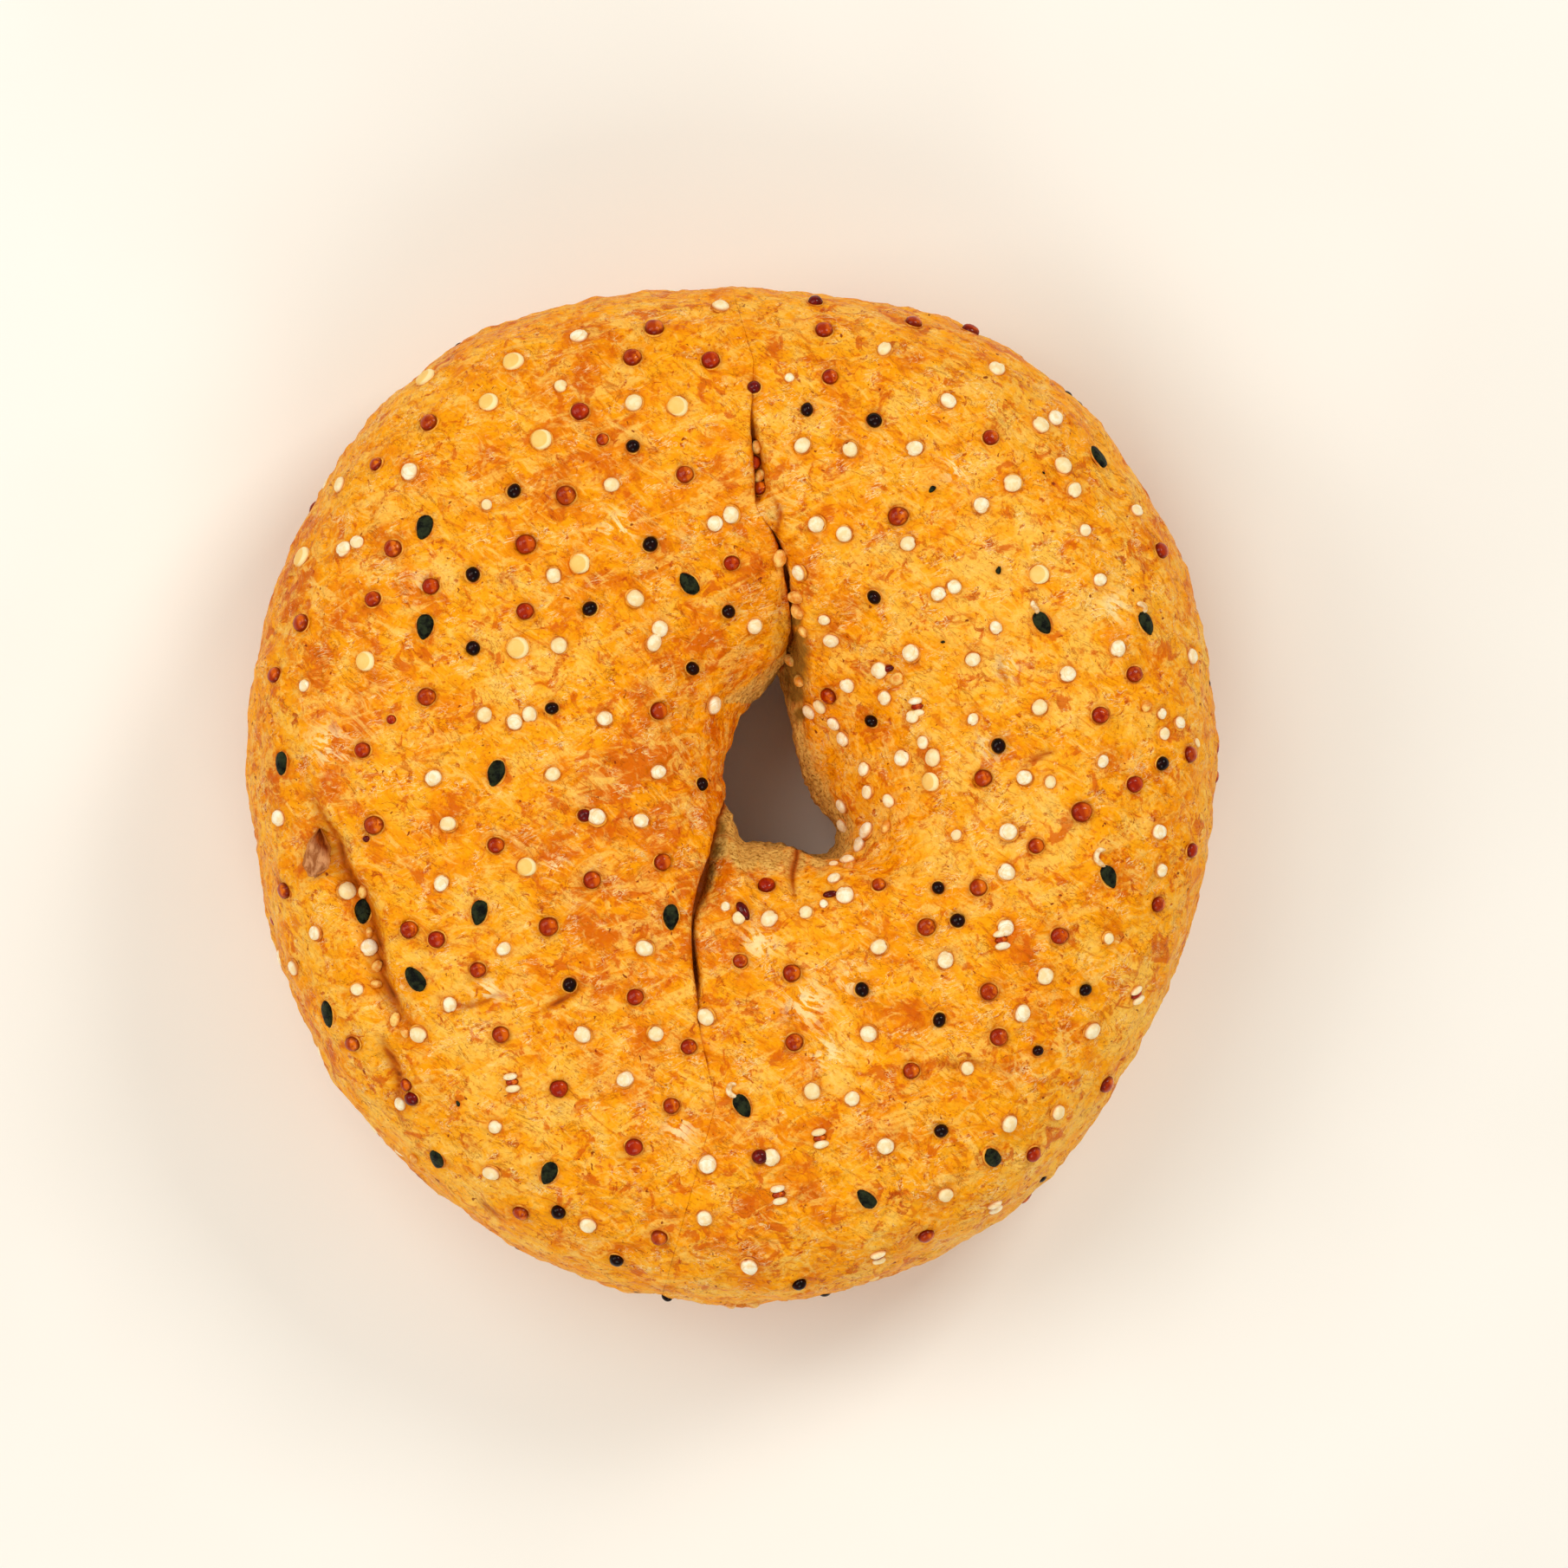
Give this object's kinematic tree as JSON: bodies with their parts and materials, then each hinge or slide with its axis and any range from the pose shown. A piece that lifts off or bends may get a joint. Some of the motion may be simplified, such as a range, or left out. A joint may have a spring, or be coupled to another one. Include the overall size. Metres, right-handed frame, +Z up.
{
  "type": "bagel",
  "caption": "Round, hand-shaped bagel: a plump ring of golden crust with a small off-centre hole, rolled seams and mixed seeds baked in. Lies on its flat base.",
  "frame": {"origin": "on the surface that the bagel lies on, under the middle of its bounding box", "axes": "+Z up, the bagel's thickness; +Y along its longest extent, toward the longer of its two seams; +X to the right, seen from above"},
  "size_m": [0.1112, 0.117, 0.0385],
  "materials": {
    "crust": "satin",
    "black_sesame": "satin",
    "sprouted_sesame": "satin",
    "black_quinoa": "gloss",
    "red_quinoa": "gloss",
    "golden_quinoa": "satin",
    "white_quinoa": "satin",
    "onion_flake": "gloss"
  },
  "bodies": {
    "root": {"bread": "crust", "black_quinoa_01": "black_quinoa", "black_quinoa_02": "black_quinoa", "black_quinoa_03": "black_quinoa", "black_quinoa_04": "black_quinoa", "black_quinoa_05": "black_quinoa", "black_quinoa_06": "black_quinoa", "black_quinoa_07": "black_quinoa", "black_quinoa_08": "black_quinoa", "black_quinoa_09": "black_quinoa", "black_quinoa_10": "black_quinoa", "black_quinoa_11": "black_quinoa", "black_quinoa_12": "black_quinoa", "black_quinoa_13": "black_quinoa", "black_quinoa_14": "black_quinoa", "black_quinoa_15": "black_quinoa", "black_quinoa_16": "black_quinoa", "black_quinoa_17": "black_quinoa", "black_quinoa_18": "black_quinoa", "black_quinoa_19": "black_quinoa", "black_quinoa_20": "black_quinoa", "black_sesame_01": "black_sesame", "black_sesame_02": "black_sesame", "black_sesame_03": "black_sesame", "black_sesame_04": "black_sesame", "black_sesame_05": "black_sesame", "black_sesame_06": "black_sesame", "black_sesame_07": "black_sesame", "black_sesame_08": "black_sesame", "black_sesame_09": "black_sesame", "black_sesame_10": "black_sesame", "black_sesame_11": "black_sesame", "black_sesame_12": "black_sesame", "black_sesame_13": "black_sesame", "black_sesame_14": "black_sesame", "black_sesame_15": "black_sesame", "golden_quinoa_01": "golden_quinoa", "golden_quinoa_02": "golden_quinoa", "golden_quinoa_03": "golden_quinoa", "golden_quinoa_04": "golden_quinoa", "onion_flake": "onion_flake", "red_quinoa_01": "red_quinoa", "red_quinoa_02": "red_quinoa", "red_quinoa_03": "red_quinoa", "red_quinoa_04": "red_quinoa", "red_quinoa_05": "red_quinoa", "red_quinoa_06": "red_quinoa", "red_quinoa_07": "red_quinoa", "red_quinoa_08": "red_quinoa", "red_quinoa_09": "red_quinoa", "red_quinoa_10": "red_quinoa", "sprouted_sesame_01": "sprouted_sesame", "sprouted_sesame_02": "sprouted_sesame", "sprouted_sesame_03": "sprouted_sesame", "sprouted_sesame_04": "sprouted_sesame", "white_quinoa_01": "white_quinoa", "white_quinoa_02": "white_quinoa", "white_quinoa_03": "white_quinoa", "white_quinoa_04": "white_quinoa", "white_quinoa_05": "white_quinoa"}
  },
  "joints": []
}
